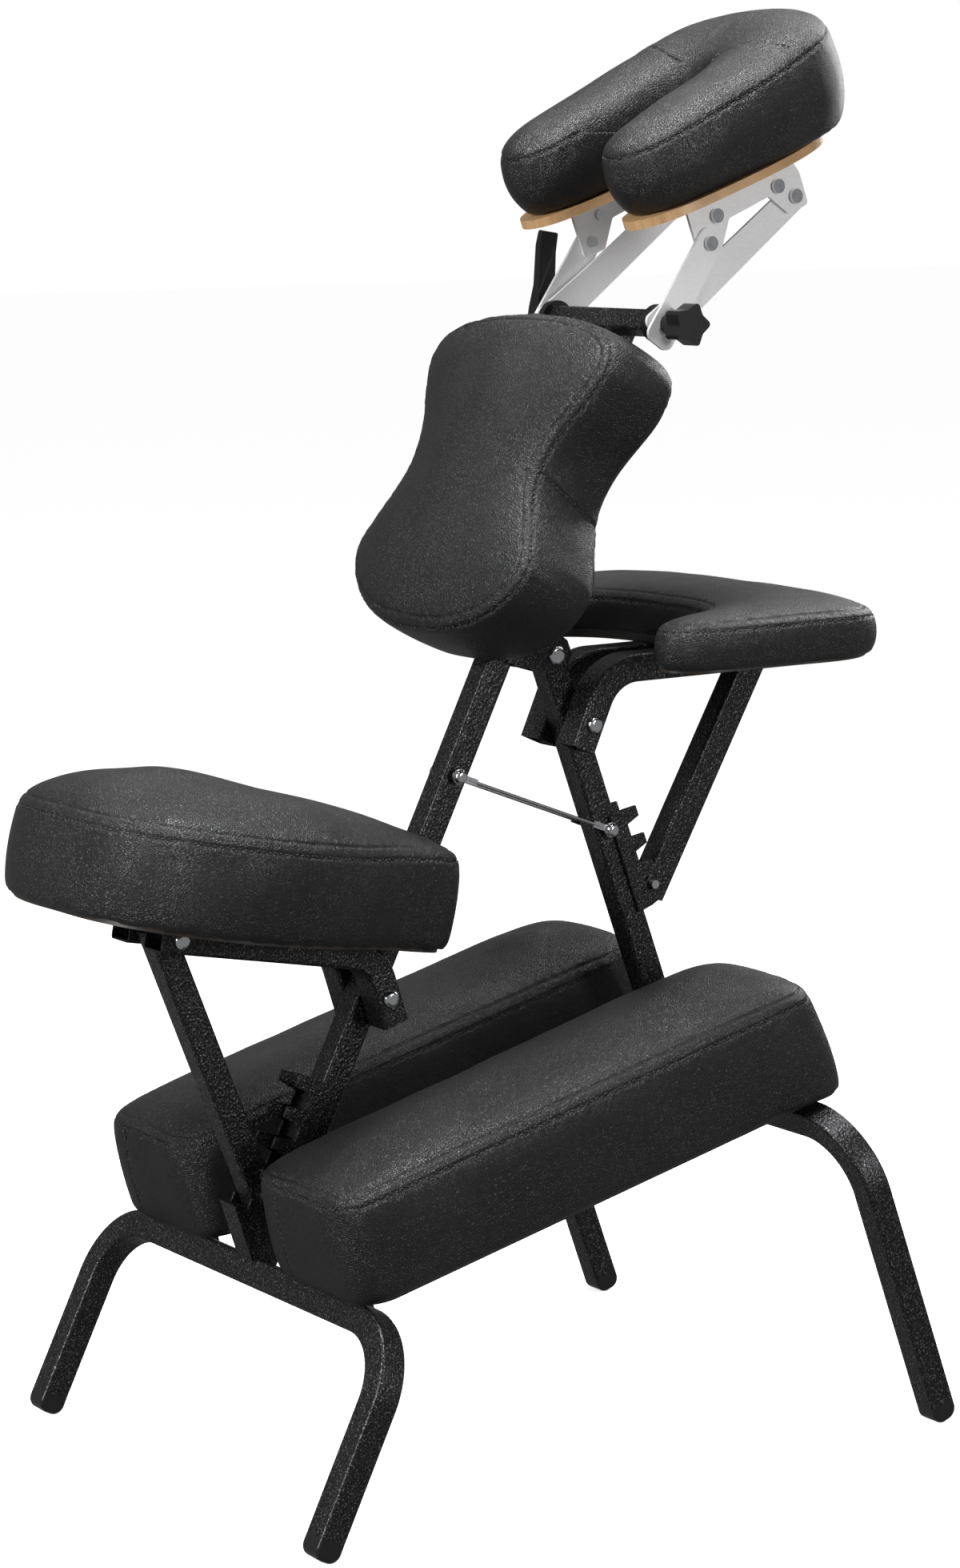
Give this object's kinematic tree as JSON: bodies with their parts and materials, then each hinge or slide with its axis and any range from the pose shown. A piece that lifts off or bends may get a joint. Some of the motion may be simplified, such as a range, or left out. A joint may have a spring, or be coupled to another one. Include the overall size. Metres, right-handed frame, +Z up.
{
  "type": "kneeling massage chair",
  "caption": "Folding kneeling massage chair: padded seat, knee rests, chest rest, armrest and face cradle on a black tube frame with toothed racks and limit cables.",
  "frame": {"origin": "on the floor, midway along the length and on the mid plane", "axes": "+X the way the user faces, +Y to the user's left, +Z up"},
  "size_m": [0.8071, 0.541, 1.2552],
  "materials": {
    "black_leather": "satin grained black cover",
    "hammer_paint": "black hammertone powder coat",
    "chrome": "bright plated",
    "steel": "bright wire and pins",
    "aluminium": "satin plate",
    "black_plastic": "black moulded",
    "gloss_plastic": "glossy black moulded",
    "plywood": "lacquered birch plywood",
    "dark_board": "dark stained board"
  },
  "bodies": {
    "rear_frame": {"rear_leg_tube": "hammer_paint", "main_post": "hammer_paint", "strut_stop": "hammer_paint", "seat_rack": "hammer_paint", "hinge_bracket": "hammer_paint", "rear_foot_cap_l": "black_plastic", "rear_foot_cap_r": "black_plastic", "rear_cable_bolt": "chrome", "hinge_bolt": "chrome", "seat_pivot_bolt": "chrome", "limit_cable_l": "steel", "limit_cable_r": "steel"},
    "front_frame": {"front_leg_tube": "hammer_paint", "front_post": "hammer_paint", "arm_rack": "hammer_paint", "front_foot_cap_l": "black_plastic", "front_foot_cap_r": "black_plastic", "front_cable_bolt": "chrome", "arm_pivot_bolt": "chrome"},
    "seat": {"seat_pad": "black_leather", "seat_board": "dark_board", "seat_bracket_l": "hammer_paint", "seat_bracket_r": "hammer_paint", "seat_strut_bolt": "chrome"},
    "seat_strut": {"seat_strut": "hammer_paint", "seat_strut_pin": "steel"},
    "armrest": {"arm_pad": "black_leather", "arm_board": "dark_board", "arm_bracket_l": "hammer_paint", "arm_bracket_r": "hammer_paint", "arm_strut_bolt": "chrome"},
    "arm_strut": {"arm_strut": "hammer_paint", "arm_strut_pin": "steel"},
    "knee_rest_l": {"knee_pad_l": "black_leather", "knee_board_l": "dark_board", "knee_saddle_l": "black_plastic"},
    "knee_rest_r": {"knee_pad_r": "black_leather", "knee_board_r": "dark_board", "knee_saddle_r": "black_plastic"},
    "chest_rest": {"chest_pad": "black_leather", "chest_board": "dark_board", "chest_sleeve": "black_plastic"},
    "chest_knob": {"chest_knob": "black_plastic"},
    "head_frame": {"head_frame": "hammer_paint", "collar_l": "black_plastic", "collar_r": "black_plastic", "clamp_stud": "chrome"},
    "head_knob": {"head_knob": "black_plastic"},
    "rear_arms": {"rear_arm_l": "aluminium", "rear_arm_r": "aluminium"},
    "platform": {"side_rail_l": "aluminium", "side_rail_r": "aluminium", "cradle_base": "plywood", "cradle_pad": "black_leather", "cradle_pivot_bolts": "chrome", "rail_screws": "chrome"},
    "front_arms": {"front_arm_l": "aluminium", "front_arm_r": "aluminium"},
    "cam_lever": {"cam_lever": "gloss_plastic"},
    "star_knob": {"star_knob": "black_plastic"}
  },
  "joints": [
    {"name": "front_fold", "type": "hinge", "parent": "rear_frame", "child": "front_frame", "pos_m": [0.11655, 0, 0.69044], "axis": [0, 1, 0], "range_deg": [0, 30], "deforming": ["limit_cable_l", "limit_cable_r"]},
    {"name": "knee_lift_l", "type": "hinge", "parent": "rear_frame", "child": "knee_rest_l", "pos_m": [-0.2, 0.129, 0.173], "axis": [0, 1, 0], "range_deg": [-8.5, 0]},
    {"name": "knee_lift_r", "type": "hinge", "parent": "rear_frame", "child": "knee_rest_r", "pos_m": [-0.2, -0.129, 0.173], "axis": [0, 1, 0], "range_deg": [-8.5, 0]},
    {"name": "seat_tilt", "type": "hinge", "parent": "rear_frame", "child": "seat", "pos_m": [-0.08201, 0, 0.4076], "axis": [0, 1, 0], "range_deg": [0, 18]},
    {"name": "seat_strut_swing", "type": "hinge", "parent": "seat", "child": "seat_strut", "pos_m": [-0.28883, 0, 0.48462], "axis": [0, 1, 0], "range_deg": [0, 3]},
    {"name": "arm_tilt", "type": "hinge", "parent": "front_frame", "child": "armrest", "pos_m": [0.13856, 0, 0.62864], "axis": [0, 1, 0], "range_deg": [-15, 0]},
    {"name": "arm_strut_swing", "type": "hinge", "parent": "armrest", "child": "arm_strut", "pos_m": [0.35056, 0, 0.67564], "axis": [0, 1, 0], "range_deg": [-2.5, 0]},
    {"name": "chest_slide", "type": "slide", "parent": "rear_frame", "child": "chest_rest", "axis": [0.4493, 0, 0.8934], "range_m": [-0.035, 0]},
    {"name": "chest_knob_spin", "type": "hinge", "parent": "chest_rest", "child": "chest_knob", "pos_m": [0.12126, 0, 0.81176], "axis": [0.8934, 0, -0.4493], "continuous": true},
    {"name": "head_slide", "type": "slide", "parent": "rear_frame", "child": "head_frame", "axis": [0.4493, 0, 0.8934], "range_m": [0, 0.05]},
    {"name": "head_knob_spin", "type": "hinge", "parent": "rear_frame", "child": "head_knob", "pos_m": [0.17204, 0, 0.91271], "axis": [0.8934, 0, -0.4493], "continuous": true},
    {"name": "cradle_pitch", "type": "hinge", "parent": "head_frame", "child": "rear_arms", "pos_m": [0.18652, 0, 0.9849], "axis": [0, 1, 0], "range_deg": [-20, 20]},
    {"name": "platform_tilt", "type": "hinge", "parent": "rear_arms", "child": "platform", "pos_m": [0.33124, 0, 1.09401], "axis": [0, 1, 0], "range_deg": [-5, 5]},
    {"name": "front_arm_swing", "type": "hinge", "parent": "platform", "child": "front_arms", "pos_m": [0.233, 0, 1.054], "axis": [0, 1, 0], "range_deg": [-10.6, 10.6]},
    {"name": "cam_lever_turn", "type": "hinge", "parent": "head_frame", "child": "cam_lever", "pos_m": [0.18652, 0.1025, 0.9849], "axis": [-0.9877, 0, 0.1564], "range_deg": [0, 90]},
    {"name": "star_knob_spin", "type": "hinge", "parent": "head_frame", "child": "star_knob", "pos_m": [0.18652, -0.12, 0.9849], "axis": [0, 1, 0], "continuous": true}
  ],
  "couplings": [
    {"joint": "knee_lift_l", "follows": "front_fold", "ratio": -0.27},
    {"joint": "knee_lift_r", "follows": "front_fold", "ratio": -0.27},
    {"joint": "seat_strut_swing", "follows": "seat_tilt", "ratio": 0.15},
    {"joint": "arm_strut_swing", "follows": "arm_tilt", "ratio": 0.15},
    {"joint": "front_arm_swing", "follows": "platform_tilt", "ratio": -2.0571}
  ]
}
